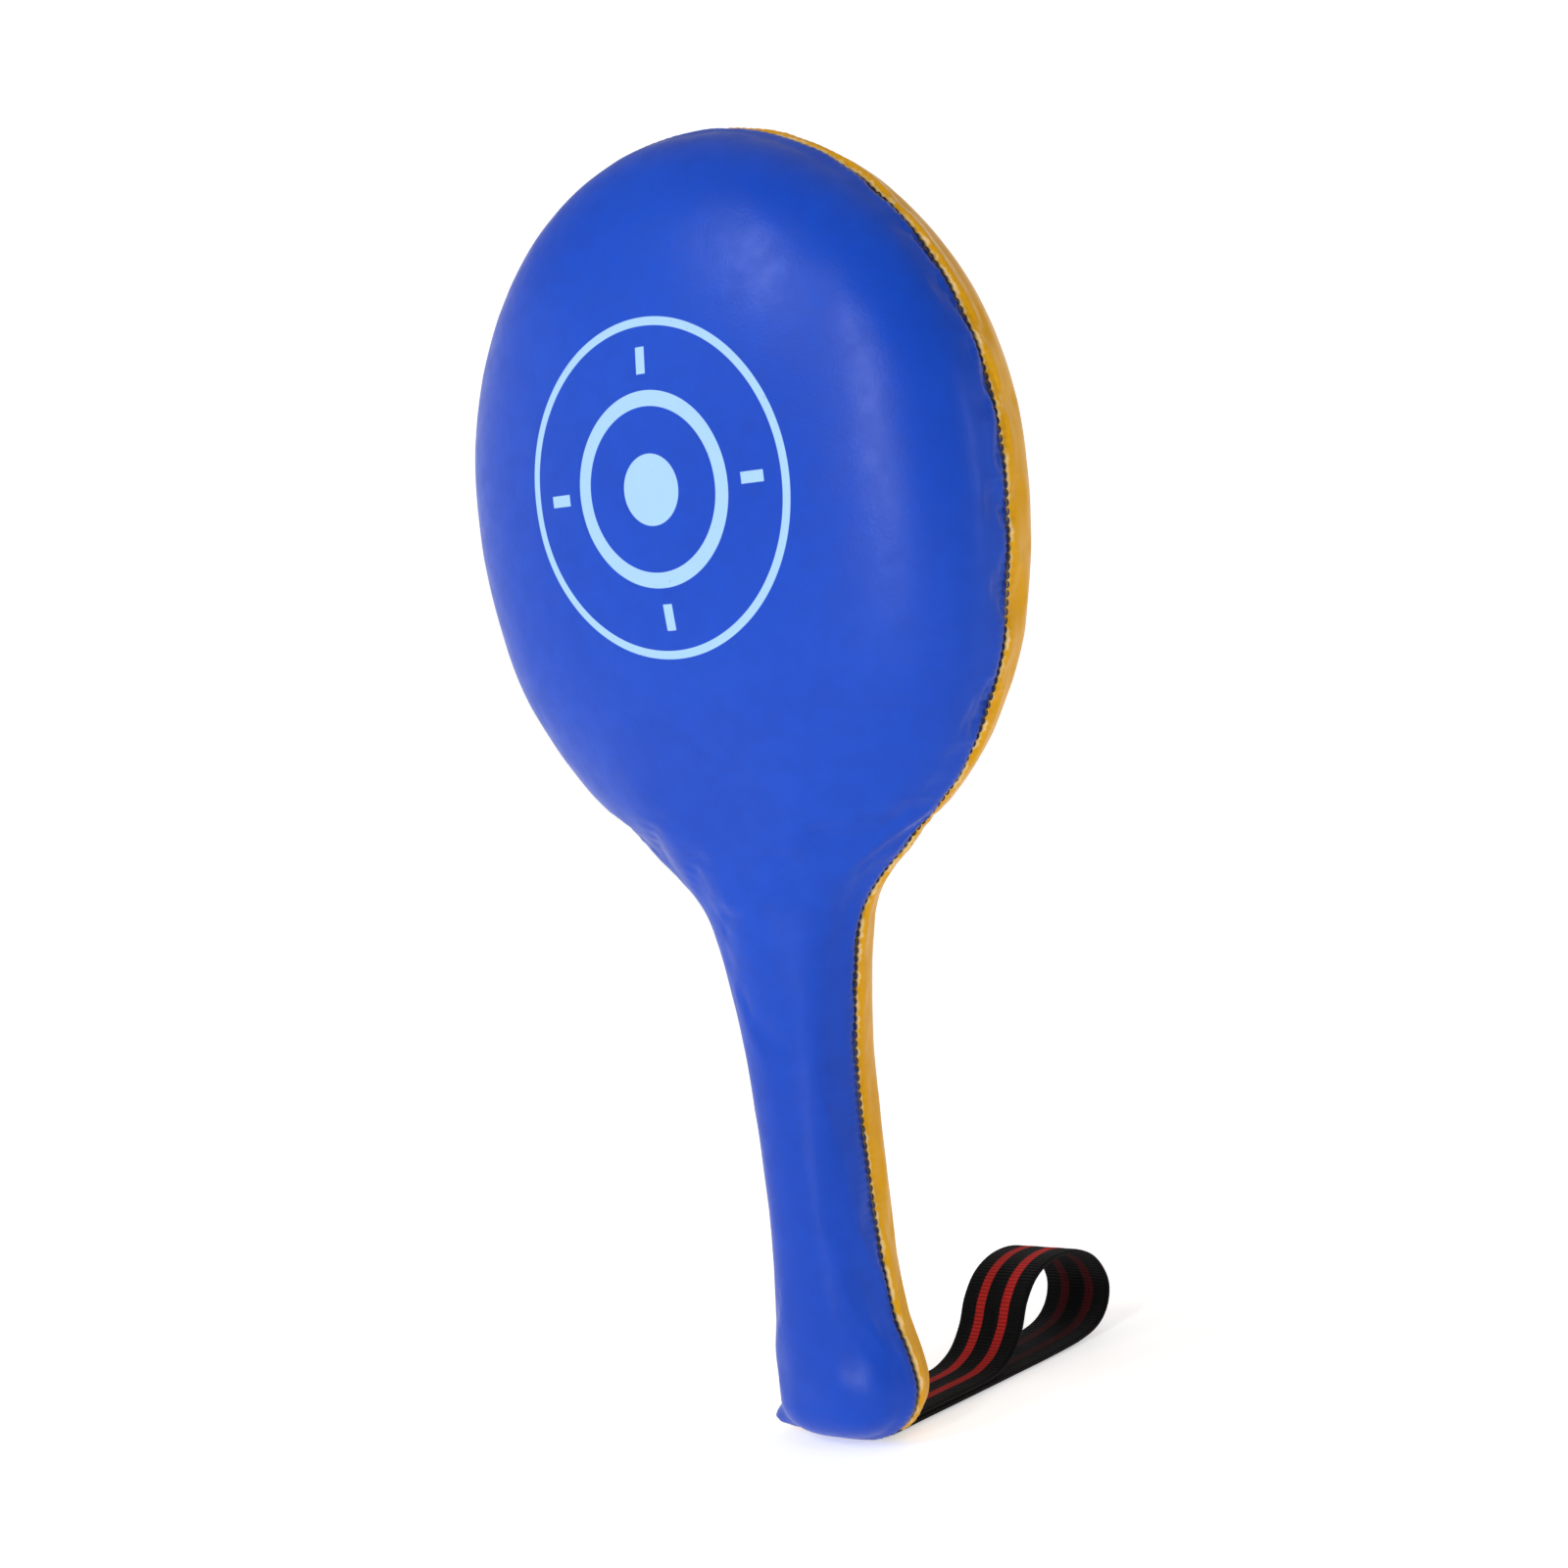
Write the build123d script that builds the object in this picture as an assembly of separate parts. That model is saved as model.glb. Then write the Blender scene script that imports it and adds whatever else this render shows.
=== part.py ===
"""A padded striking paddle: two sewn leather covers over foam, a riveted core and a webbing wrist loop.

The frame stands on the middle of the butt's underside. +X is to the right seen from the front,
-Y is the front, +Z runs up the grip to the head. The cover seam lies in the plane Y = 0.
"""

import os
from math import cos, exp, pi, sin, sqrt

from build123d import *

# Overall sizes of the padded body, in millimetres
PAD_HEIGHT = 398.5
HEAD_HALF_WIDTH = 99.3
HEAD_HALF_DEPTH = 39.5
HEAD_WIDEST_Z = 291.0
HEAD_DEEPEST_Z = 286.0
NECK_Z = 158.0
NECK_HALF_WIDTH = 26.6
NECK_HALF_DEPTH = 21.3
GRIP_Z = 85.0
GRIP_HALF_WIDTH = 18.9
GRIP_HALF_DEPTH = 18.4
BUTT_Z = 16.0
BUTT_HALF_WIDTH = 27.4
BUTT_HALF_DEPTH = 18.8
BUTT_CORNER_WIDTH = 20.0
BUTT_CORNER_DEPTH = 13.0
SECTION_POWER = 2.6
CROWN_POWER = 2.0
CROWN_DEPTH_POWER = 2.6

# How the outline swells between two named levels: (share of the height, share of the change)
HEAD_WIDTH_FLARE = ((0.079, 0.085), (0.192, 0.321), (0.305, 0.562), (0.455, 0.768), (0.643, 0.915))
HEAD_DEPTH_FLARE = ((0.156, 0.065), (0.352, 0.324), (0.547, 0.680), (0.742, 0.907))
GRIP_FLARE = ((0.50, 0.13),)
BUTT_FLARE = ((0.40, 0.75),)

# Covers and their seam
COVER_THICKNESS = 1.2
FOAM_GAP = 0.3
SEAM_VALLEY_DEPTH = 1.8
SEAM_VALLEY_WIDTH = 2.4
SEAM_ALLOWANCE = 6.0
SEAM_THREAD = 0.8
SEAM_THREAD_GAP = 0.45
SEAM_THREAD_START_Z = 3.0

# Core
CORE_THICKNESS = 4.0
CORE_MARGIN = 9.0
CORE_GAP = 0.2
BACKING_THICKNESS = 10.0
SPLINT_WIDTH = 18.0
SPLINT_THICKNESS = 5.0
SPLINT_BOTTOM_Z = 36.0
SPLINT_TOP_Z = 226.0
RIVET_COUNT = 4
RIVET_RADIUS = 2.0
RIVET_HEAD_RADIUS = 4.0
RIVET_HEAD_THICKNESS = 1.0
RIVET_END_DISTANCE = 14.0
RIVET_CLEARANCE = 0.1

# Wrist strap of flat webbing
WEBBING_WIDTH = 25.0
WEBBING_THICKNESS = 1.6
LAYER_GAP = 0.2
STRAP_FLOOR_GAP = 0.3
STRAP_ROOT_GAP = 0.3
STRAP_SIDE_GAP = 0.4
STRAP_FLAT_LENGTH = 52.0
STRAP_STEPS = 48
TAIL_LENGTH = 26.0
TAIL_STITCHES = 6
TAIL_STITCH_RADIUS = 0.4
TAIL_STITCH_HEIGHTS = (11.0, 16.0)
TAIL_STITCH_PITCH = 3.8

# The strap's open loop: how far out past its flat part and how far above its lower run, round the loop.
STRAP_LOOP = (
    (34.0, 0.1),
    (52.0, 0.7),
    (63.0, 3.0),
    (69.5, 8.5),
    (70.8, 16.0),
    (65.0, 24.5),
    (54.0, 29.6),
    (42.0, 30.2),
    (32.0, 27.0),
    (25.0, 20.5),
    (20.5, 12.5),
    (14.5, 6.2),
    (7.5, 3.0),
)

# How finely the curved surfaces are sectioned
BUTT_SECTIONS = 6
MIDDLE_SECTIONS = 18
CROWN_SECTION_RISE = 13.4
SECTION_STEPS = 16
SLOPE_STEP = 0.01

FRONT = -1
BACK = 1
BELOW = 5.0

stack_height = 2 * WEBBING_THICKNESS + LAYER_GAP
core_half = CORE_THICKNESS / 2 + CORE_GAP
strap_roof_z = STRAP_FLOOR_GAP + stack_height + STRAP_SIDE_GAP
tail_half = WEBBING_THICKNESS + LAYER_GAP / 2
tail_slot_half = tail_half + STRAP_ROOT_GAP
tail_pocket_half = tail_half + 2 * TAIL_STITCH_RADIUS + STRAP_ROOT_GAP
splint_outer_y = CORE_THICKNESS / 2 + SPLINT_THICKNESS
rivet_head_y = splint_outer_y + RIVET_HEAD_THICKNESS


def hermite(stations, z):
    """Smooth height-to-size curve through (height, size) stations, level at its first and last."""
    slopes = [0.0]
    for (z0, s0), (_, _), (z2, s2) in zip(stations, stations[1:], stations[2:]):
        slopes.append((s2 - s0) / (z2 - z0))
    slopes.append(0.0)
    for i in range(len(stations) - 1):
        (z0, s0), (z1, s1) = stations[i], stations[i + 1]
        if z <= z1:
            span = z1 - z0
            t = (z - z0) / span
            start = s0 * (1 + 2 * t) * (1 - t) ** 2 + slopes[i] * span * t * (1 - t) ** 2
            return start + s1 * t * t * (3 - 2 * t) - slopes[i + 1] * span * t * t * (1 - t)
    return stations[-1][1]


def corner_inset(z, radius):
    """How far a rounded bottom corner draws the side in at height z."""
    if z >= radius:
        return 0.0
    return radius - sqrt(radius**2 - (radius - z) ** 2)


def crown(z, start_z, power):
    """Share of its full size that the head keeps at height z above start_z."""
    rise = max(0.0, (z - start_z) / (PAD_HEIGHT - start_z))
    return (1 - rise**power) ** (1 / power)


def flared(levels, flares):
    """Stations at the named levels, with the flare's own stations between each two of them."""
    stations = [levels[0]]
    for (z0, s0), (z1, s1), flare in zip(levels, levels[1:], flares):
        stations += [(z0 + (z1 - z0) * rise, s0 + (s1 - s0) * share) for rise, share in flare]
        stations.append((z1, s1))
    return stations


def half_width(z):
    """Half the pad's width at height z."""
    levels = [
        (BUTT_Z, BUTT_HALF_WIDTH),
        (GRIP_Z, GRIP_HALF_WIDTH),
        (NECK_Z, NECK_HALF_WIDTH),
        (HEAD_WIDEST_Z, HEAD_HALF_WIDTH),
    ]
    stations = flared(levels, (BUTT_FLARE, GRIP_FLARE, HEAD_WIDTH_FLARE))
    side = hermite(stations, max(z, BUTT_Z)) * crown(z, HEAD_WIDEST_Z, CROWN_POWER)
    return side - corner_inset(z, BUTT_CORNER_WIDTH)


def half_depth(z):
    """Distance from the seam plane to the front or back face at height z."""
    levels = [
        (BUTT_Z, BUTT_HALF_DEPTH),
        (GRIP_Z, GRIP_HALF_DEPTH),
        (NECK_Z, NECK_HALF_DEPTH),
        (HEAD_DEEPEST_Z, HEAD_HALF_DEPTH),
    ]
    stations = flared(levels, (BUTT_FLARE, GRIP_FLARE, HEAD_DEPTH_FLARE))
    face = hermite(stations, max(z, BUTT_Z)) * crown(z, HEAD_DEEPEST_Z, CROWN_DEPTH_POWER)
    return face - corner_inset(z, BUTT_CORNER_DEPTH)


def section_heights():
    """Heights of the loft's sections: close together at both rounded ends."""
    butt_turn = pi / 2 / BUTT_SECTIONS
    low = [BUTT_CORNER_WIDTH * (1 - cos(i * butt_turn)) for i in range(BUTT_SECTIONS)]
    rise = (HEAD_WIDEST_Z - BUTT_CORNER_WIDTH) / MIDDLE_SECTIONS
    middle = [BUTT_CORNER_WIDTH + i * rise for i in range(MIDDLE_SECTIONS + 1)]
    crown_height = PAD_HEIGHT - HEAD_WIDEST_Z
    crown_sections = round(crown_height / CROWN_SECTION_RISE)
    crown_turn = pi / 2 / (crown_sections + 1)
    high = [HEAD_WIDEST_Z + crown_height * sin(i * crown_turn) for i in range(1, crown_sections + 1)]
    return low + middle + high


def half_section(z, place_z, side, inset):
    """One half of the pad's cross-section at height z, drawn at place_z and inset all round."""
    width = half_width(z) - inset
    depth = half_depth(z) - inset
    points = []
    for i in range(SECTION_STEPS + 1):
        angle = pi * i / SECTION_STEPS
        x = width * abs(cos(angle)) ** (2 / SECTION_POWER)
        y = depth * abs(sin(angle)) ** (2 / SECTION_POWER)
        x -= SEAM_VALLEY_DEPTH * exp(-((y / SEAM_VALLEY_WIDTH) ** 2))
        points.append((x if angle < pi / 2 else -x, side * y, place_z))
    points[0] = (width - SEAM_VALLEY_DEPTH, 0, place_z)
    points[-1] = (SEAM_VALLEY_DEPTH - width, 0, place_z)
    curve = Spline(*points)
    return make_face([curve, Line(points[-1], points[0])])


def half_pad(side, inset):
    """Solid front or back half of the pad, inset from its outer surface."""
    middle_z = PAD_HEIGHT / 2
    shrink = (middle_z - inset) / middle_z
    sections = []
    for z in section_heights():
        sections.append(half_section(z, middle_z + (z - middle_z) * shrink, side, inset))
    return Solid(loft(sections).solid().wrapped)


def block(x_half, y_low, y_high, z_low, z_high):
    """A box centred on X = 0."""
    size = Box(2 * x_half, y_high - y_low, z_high - z_low)
    return Pos(0, (y_low + y_high) / 2, (z_low + z_high) / 2) * size


def sided_block(side, x_half, y_near, y_far, z_low, z_high):
    """A box on one side of the seam plane, from y_near out to y_far."""
    y_low, y_high = sorted((side * y_near, side * y_far))
    return block(x_half, y_low, y_high, z_low, z_high)


def seam_side(grow, mirror):
    """Points up one side of the seam line, moved outwards by grow, as (x, z)."""
    points = []
    for z in section_heights():
        below, above = max(z - SLOPE_STEP, 0), z + SLOPE_STEP
        slope = (half_width(above) - half_width(below)) / (above - below)
        length = sqrt(1 + slope**2)
        x = half_width(z) - SEAM_VALLEY_DEPTH + grow / length
        points.append((mirror * x, z - grow * slope / length))
    return points


def seam_plate(grow, y_low, y_high):
    """Plate bounded by the seam line, grown or shrunk, between two depths."""
    right, left = seam_side(grow, 1), seam_side(grow, -1)
    curve = Spline(*[(x, 0, z) for x, z in right + left[::-1]])
    face = make_face([curve, Line(curve @ 1, curve @ 0)])
    half = (y_high - y_low) / 2
    return Pos(0, y_low + half, 0) * extrude(face, half, dir=(0, 1, 0), both=True)


def strap_pocket(grow=0.0):
    """Space pressed into the butt's underside where the strap folds back."""
    x_half = WEBBING_WIDTH / 2 + STRAP_SIDE_GAP + grow
    return block(x_half, -tail_slot_half, BUTT_HALF_DEPTH + BELOW, -BELOW, strap_roof_z + grow)


def tail_mouth():
    """Slot in the butt seam that the strap's tails pass through."""
    x_half = WEBBING_WIDTH / 2 + STRAP_ROOT_GAP
    return block(x_half, -tail_slot_half, tail_slot_half, -BELOW, TAIL_LENGTH)


def cover(side, outer):
    """One leather cover: a shell with a turned-in allowance along the seam."""
    far = HEAD_HALF_WIDTH + BELOW
    deep = HEAD_HALF_DEPTH + BELOW
    cavity = half_pad(side, COVER_THICKNESS)
    cavity &= sided_block(side, far, COVER_THICKNESS, deep, -BELOW, PAD_HEIGHT)
    if side == BACK:
        cavity -= strap_pocket(COVER_THICKNESS)
    shell = outer - cavity
    shell -= seam_plate(-SEAM_ALLOWANCE, -2 * COVER_THICKNESS, 2 * COVER_THICKNESS)
    if side == BACK:
        shell -= strap_pocket()
    return (shell - tail_mouth()).fix()


def padding_blank(side):
    """Foam that fills one cover, cut clear of the core, splints, rivets, tails and strap."""
    foam = half_pad(side, COVER_THICKNESS + FOAM_GAP)
    far = HEAD_HALF_WIDTH + BELOW
    foam -= block(far, -core_half, core_half, -BELOW, PAD_HEIGHT)
    splint_half = SPLINT_WIDTH / 2 + CORE_GAP
    splint_far = rivet_head_y + CORE_GAP
    bottom, top = SPLINT_BOTTOM_Z - CORE_GAP, SPLINT_TOP_Z + CORE_GAP
    foam -= sided_block(side, splint_half, 0, splint_far, bottom, top)
    tail_width = WEBBING_WIDTH / 2 + STRAP_ROOT_GAP
    foam -= sided_block(side, tail_width, 0, tail_pocket_half, -BELOW, TAIL_LENGTH + CORE_GAP)
    if side == BACK:
        foam -= strap_pocket(COVER_THICKNESS + FOAM_GAP)
    return foam


def head_layers(side, blank):
    """The dense backing sheet and the soft impact layer of the head on one side."""
    far = HEAD_HALF_WIDTH + BELOW
    split_y = core_half + BACKING_THICKNESS
    deep = HEAD_HALF_DEPTH + BELOW
    backing_zone = sided_block(side, far, 0, split_y, NECK_Z, PAD_HEIGHT)
    padding_zone = sided_block(side, far, split_y + CORE_GAP, deep, NECK_Z, PAD_HEIGHT)
    return blank & backing_zone, blank & padding_zone


def grip_layer(side, blank):
    """Soft padding round one side of the grip and butt."""
    far = HEAD_HALF_WIDTH + BELOW
    deep = HEAD_HALF_DEPTH + BELOW
    return blank & sided_block(side, far, 0, deep, -BELOW, NECK_Z - CORE_GAP)


def rivet_heights():
    """Even heights of the rivets along the splints."""
    first = SPLINT_BOTTOM_Z + RIVET_END_DISTANCE
    last = SPLINT_TOP_Z - RIVET_END_DISTANCE
    return [first + (last - first) * i / (RIVET_COUNT - 1) for i in range(RIVET_COUNT)]


def y_rods(radius, y_half, places):
    """Round rods along Y, centred on the seam plane at the given (x, z) places."""
    rods = []
    for x, z in places:
        rods.append(Pos(x, 0, z) * Rot(90, 0, 0) * Cylinder(radius, 2 * y_half))
    return rods


def rivet_holes():
    """Clearance holes for the rivets."""
    places = [(0, z) for z in rivet_heights()]
    return y_rods(RIVET_RADIUS + RIVET_CLEARANCE, rivet_head_y, places)


def core_sheet():
    """Stiff sheet in the seam plane, from the foot of the splints to the top of the head."""
    sheet = seam_plate(-CORE_MARGIN, -CORE_THICKNESS / 2, CORE_THICKNESS / 2)
    far = HEAD_HALF_WIDTH + BELOW
    sheet -= block(far, -CORE_THICKNESS, CORE_THICKNESS, -BELOW, SPLINT_BOTTOM_Z)
    return sheet - rivet_holes()


def splint(side):
    """Wooden strip with round ends that stiffens the grip and reaches into the head."""
    length = SPLINT_TOP_Z - SPLINT_BOTTOM_Z
    outline = Rot(0, 0, 90) * SlotOverall(length, SPLINT_WIDTH)
    bar = extrude(Plane.XZ * outline, SPLINT_THICKNESS / 2, both=True)
    y = side * (CORE_THICKNESS + SPLINT_THICKNESS) / 2
    return Pos(0, y, (SPLINT_TOP_Z + SPLINT_BOTTOM_Z) / 2) * bar - rivet_holes()


def rivets():
    """Rivets through both splints and the core sheet, each with a head at both ends."""
    places = [(0, z) for z in rivet_heights()]
    shanks = y_rods(RIVET_RADIUS, splint_outer_y, places)
    solids = []
    for shank, (x, z) in zip(shanks, places):
        for side in (FRONT, BACK):
            y = side * (splint_outer_y + RIVET_HEAD_THICKNESS / 2)
            head = Cylinder(RIVET_HEAD_RADIUS, RIVET_HEAD_THICKNESS)
            shank += Pos(x, y, z) * Rot(90, 0, 0) * head
        solids.append(shank)
    return Compound([s.solid() for s in solids])


def seam_thread():
    """Thread laid in the valley of the seam, from one butt corner over the head to the other."""
    outside = seam_plate(SEAM_THREAD_GAP + SEAM_THREAD, -SEAM_THREAD / 2, SEAM_THREAD / 2)
    thread = outside - seam_plate(SEAM_THREAD_GAP, -SEAM_THREAD, SEAM_THREAD)
    far = HEAD_HALF_WIDTH + BELOW
    return thread - block(far, -SEAM_THREAD, SEAM_THREAD, -BELOW, SEAM_THREAD_START_Z)


def tail_stitch_places():
    """Where the closing stitches cross the tails, as (x, z)."""
    first = -TAIL_STITCH_PITCH * (TAIL_STITCHES - 1) / 2
    places = []
    for z in TAIL_STITCH_HEIGHTS:
        for i in range(TAIL_STITCHES):
            places.append((first + i * TAIL_STITCH_PITCH, z))
    return places


def strap_tails():
    """The webbing's two ends, one on the other, sewn upright into the butt seam."""
    tails = block(WEBBING_WIDTH / 2, -tail_half, tail_half, 0, TAIL_LENGTH)
    return tails - y_rods(TAIL_STITCH_RADIUS, 2 * tail_half, tail_stitch_places())


def closing_stitches():
    """Two rows of stitches through the tails."""
    y_half = tail_half + 2 * TAIL_STITCH_RADIUS
    rods = y_rods(TAIL_STITCH_RADIUS, y_half, tail_stitch_places())
    return Compound([rod.solid() for rod in rods])


def strap_loop():
    """Middle line of the webbing's free loop, from its lower flat run round to its upper one."""
    low_z = STRAP_FLOOR_GAP + WEBBING_THICKNESS / 2
    high_z = low_z + WEBBING_THICKNESS + LAYER_GAP
    route = [(STRAP_FLAT_LENGTH, low_z)]
    route += [(STRAP_FLAT_LENGTH + out, low_z + up) for out, up in STRAP_LOOP]
    route.append((STRAP_FLAT_LENGTH, high_z))
    ends = [(0, 1, 0), (0, -1, 0)]
    return Spline(*[(0, y, z) for y, z in route], tangents=ends)


def wrist_strap():
    """The webbing from the seam out, round its loop and back, as one folded band."""
    root_y = tail_half + STRAP_ROOT_GAP
    middle = strap_loop()
    faces = []
    for sign in (-1, 1):
        points = []
        for i in range(STRAP_STEPS + 1):
            along = middle % (i / STRAP_STEPS)
            shift = Vector(0, -along.Z, along.Y) * (sign * WEBBING_THICKNESS / 2)
            points.append(middle @ (i / STRAP_STEPS) + shift)
        start, end = [Vector(0, root_y, points[i].Z) for i in (0, -1)]
        faces.append([Line(start, points[0]), Spline(*points), Line(points[-1], end)])
    outside, inside = faces
    ends = [Line(outside[0] @ 0, inside[0] @ 0), Line(outside[-1] @ 1, inside[-1] @ 1)]
    band = make_face(outside + inside + ends)
    return extrude(band, WEBBING_WIDTH / 2, dir=(1, 0, 0), both=True)


def build():
    """Every sub-part by name."""
    parts = {}
    for side, name in ((FRONT, "front"), (BACK, "back")):
        outer = half_pad(side, 0)
        parts[f"{name}_cover"] = cover(side, outer)
        blank = padding_blank(side)
        backing, padding = head_layers(side, blank)
        parts[f"head_backing_{name}"] = backing
        parts[f"head_padding_{name}"] = padding
        parts[f"grip_padding_{name}"] = grip_layer(side, blank)
        parts[f"grip_splint_{name}"] = splint(side)
    parts["core_sheet"] = core_sheet()
    parts["splint_rivets"] = rivets()
    parts["seam_thread"] = seam_thread()
    parts["strap_tails"] = strap_tails()
    parts["closing_stitches"] = closing_stitches()
    parts["wrist_strap"] = wrist_strap()
    return parts


os.makedirs("parts", exist_ok=True)
for node, shape in build().items():
    export_step(shape, f"parts/{node}.step")
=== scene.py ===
"""Looks of the padded striking paddle.

Two stuffed leather shells, their sewn seam, the webbing strap and the hard pieces inside.
"""

import math

import bmesh
import bpy
import numpy as np
from mathutils import Matrix, Vector, noise


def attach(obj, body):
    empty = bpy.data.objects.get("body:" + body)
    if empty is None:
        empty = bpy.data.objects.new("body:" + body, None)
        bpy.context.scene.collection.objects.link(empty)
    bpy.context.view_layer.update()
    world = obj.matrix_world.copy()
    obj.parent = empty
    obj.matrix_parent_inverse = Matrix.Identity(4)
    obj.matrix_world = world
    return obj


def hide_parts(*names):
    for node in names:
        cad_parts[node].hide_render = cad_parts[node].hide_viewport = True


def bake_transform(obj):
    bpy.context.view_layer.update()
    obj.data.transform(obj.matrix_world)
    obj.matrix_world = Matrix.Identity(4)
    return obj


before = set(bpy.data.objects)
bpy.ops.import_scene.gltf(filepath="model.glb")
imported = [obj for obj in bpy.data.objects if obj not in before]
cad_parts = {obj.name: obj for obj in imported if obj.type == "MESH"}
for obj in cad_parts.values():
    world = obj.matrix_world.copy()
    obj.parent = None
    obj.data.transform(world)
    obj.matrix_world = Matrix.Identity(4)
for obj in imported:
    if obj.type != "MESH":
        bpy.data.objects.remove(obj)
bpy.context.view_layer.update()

MM = 0.001

# Shape of the padded body, in millimetres, as the frame has it
PAD_HEIGHT = 398.5
HEAD_HALF_WIDTH = 99.3
HEAD_HALF_DEPTH = 39.5
HEAD_WIDEST_Z = 291.0
HEAD_DEEPEST_Z = 286.0
NECK_Z = 158.0
NECK_HALF_WIDTH = 26.6
NECK_HALF_DEPTH = 21.3
GRIP_Z = 85.0
GRIP_HALF_WIDTH = 18.9
GRIP_HALF_DEPTH = 18.4
BUTT_Z = 16.0
BUTT_HALF_WIDTH = 27.4
BUTT_HALF_DEPTH = 18.8
BUTT_CORNER_WIDTH = 20.0
BUTT_CORNER_DEPTH = 13.0
SECTION_POWER = 2.6
CROWN_POWER = 2.0
CROWN_DEPTH_POWER = 2.6
HEAD_WIDTH_FLARE = ((0.079, 0.085), (0.192, 0.321), (0.305, 0.562), (0.455, 0.768), (0.643, 0.915))
HEAD_DEPTH_FLARE = ((0.156, 0.065), (0.352, 0.324), (0.547, 0.680), (0.742, 0.907))
GRIP_FLARE = ((0.50, 0.13),)
BUTT_FLARE = ((0.40, 0.75),)

# How finely the outline is followed, and how the columns crowd towards the seam
OUTLINE_SAMPLES = 6000
UNDERSIDE_SAMPLES = 100
ROWS_PER_STITCH = 3
COLUMNS = 44
COLUMN_CROWDING = 1.7

# Seam: a valley, rippled by each stitch, between two puckered lips
STITCH_PITCH = 2.6
VALLEY_DEPTH = 2.0
VALLEY_REACH = 1.2
VALLEY_RIPPLE = 0.2
PUCKER = 0.22
PUCKER_REACH = 2.6
LIP_PLACE = 2.2
SEAM_GAP = 0.08

# Leather gathered along the seam, most of all at the neck
GATHER = 0.35
NECK_GATHER = 0.6
GATHER_SCALE = 11.0
GATHER_REACH = 7
NECK_STARTS = (120, 165)
NECK_ENDS = (175, 215)

# Leather settling under the stuffing's pressure
PRESSURE = 4.0
PRESSURE_FRAMES = 20
CLOTH_ROW_STEP = 6
SPARE_LEATHER = 0.004
CLOTH_COLUMN_STEP = 2
START_INSET = 1.6
SWELL_LIMIT = 2.4

# Waves and folds in the leather: height and scale
BROAD_WAVE, BROAD_SCALE = 0.75, 62.0
FINE_WAVE, FINE_SCALE = 0.16, 24.0
EDGE_FOLD, EDGE_SCALE = 0.42, 9.0
EDGE_FOLD_REACH = 11
EDGE_FOLD_LENGTH = 5

# Dents in the front of the butt: centre, radius, depth (a negative depth is a bulge)
FRONT_DENTS = (
    ((17.0, -17.0, 30.0), (7.0, 9.0, 9.0), 1.5),
    ((6.0, -18.0, 20.0), (9.0, 12.0, 5.0), -0.8),
    ((-14.0, -17.0, 24.0), (5.0, 9.0, 10.0), 0.7),
)

# The butt's left corner, drawn in above, its pinched tip standing out below: centre, reach, push
CORNER_NUDGES = (
    ((-25.0, -6.0, 19.0), (9.0, 14.0, 10.0), (3.2, 1.2, 0.0)),
    ((-19.5, 0.0, 5.0), (6.0, 5.5, 5.6), (-11.5, -1.4, -1.6)),
    ((-31.0, 0.0, 3.6), (3.0, 6.0, 5.0), (1.0, 0.0, 0.3)),
)

# Bed of the folded strap under the back shell, and how low the leather may hang
BED_ROOF = 4.4
BED_SLOPE = 0.02
BED_SIDES = (0.8, 4.5)
BED_FRONT_EDGE = (-2.6, -1.4)
LOWEST_LEATHER = 0.05

# Thread of one seam stitch
THREAD_RADIUS = 0.3
THREAD_SIDES = 6
THREAD_STOPS = 5
THREAD_HALF_LENGTH = 1.05
THREAD_ABOVE_VALLEY = 0.55
THREAD_ARCH = 0.15
THREAD_DIP = 0.4
THREAD_TAPER = 0.35
MOUTH_WITHOUT_STITCHES = 14

# Strap
WEBBING_WIDTH = 25.0
WEBBING_THICKNESS = 1.6
RIB_PITCH = 1.3
RIB_HEIGHT = 0.07
YARN_PITCH = 0.55
SELVEDGE_WIDTH = 0.5
SELVEDGE_SHARE = 0.35
SURFACE_INSET = 0.05
STRIPE_OFFSET = 4.8
STRIPE_WIDTH = 3.4
STRIPE_HEIGHT = 0.06
STRIPE_BLUR = 0.15
# Which face of the webbing gets its stripes painted darker as shade inside the loop, and the shift
# in its map that marks that face
SHADED_SIDE_SHIFT = 100.0
SHADED_SIDE_FACE = 1
CURVE_STEPS = 24

# Printed target on the front, in metres
TARGET_Z = 0.2946
TARGET_RADIUS = 0.0486
TARGET_STROKE = 0.0025
RING_RADIUS = 0.0265
RING_STROKE = 0.0046
DISC_RADIUS = 0.0105
TICK_RADIUS = 0.0375
TICK_LENGTH = 0.0078
TICK_WIDTH = 0.0034
PRINT_BLUR = 0.00012

# Studio, in metres: the round backdrop, then each light's name, place, aim, size and power
FLOOR_GAP = 0.0003
BACKDROP_RADIUS = 2.2
BACKDROP_CURVE = 1.0
BACKDROP_TOP = 1.3
BACKDROP_SIDES = 64
BACKDROP_CURVE_STEPS = 12
# Painted glow of the backdrop: where it starts and stops fading, and its strength at each end
GLOW_DISTANCE = (0.4, 2.4)
GLOW_STRENGTH = (0.5, 0.15)
LIGHTS = (
    ("tall_front", (0.27, -1.25, 0.50), (0.03, 0, 0.27), (0.14, 1.0), 7.5),
    ("upper_left", (-0.38, -1.04, 0.96), (0, 0, 0.30), (0.30, 0.35), 4.0),
    ("right_strip", (1.0, 0.20, 0.30), (0.08, 0, 0.27), (0.04, 0.5), 0.7),
    ("top", (0.0, 0.2, 1.8), (0, 0, 0.2), (1.6, 1.6), 1.5),
    ("behind", (-0.5, 1.5, 0.9), (0, 0, 0.22), (1.2, 1.0), 1.2),
)
WORLD_STRENGTH = 0.4
WHITE = (1.0, 1.0, 1.0, 1.0)

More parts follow.
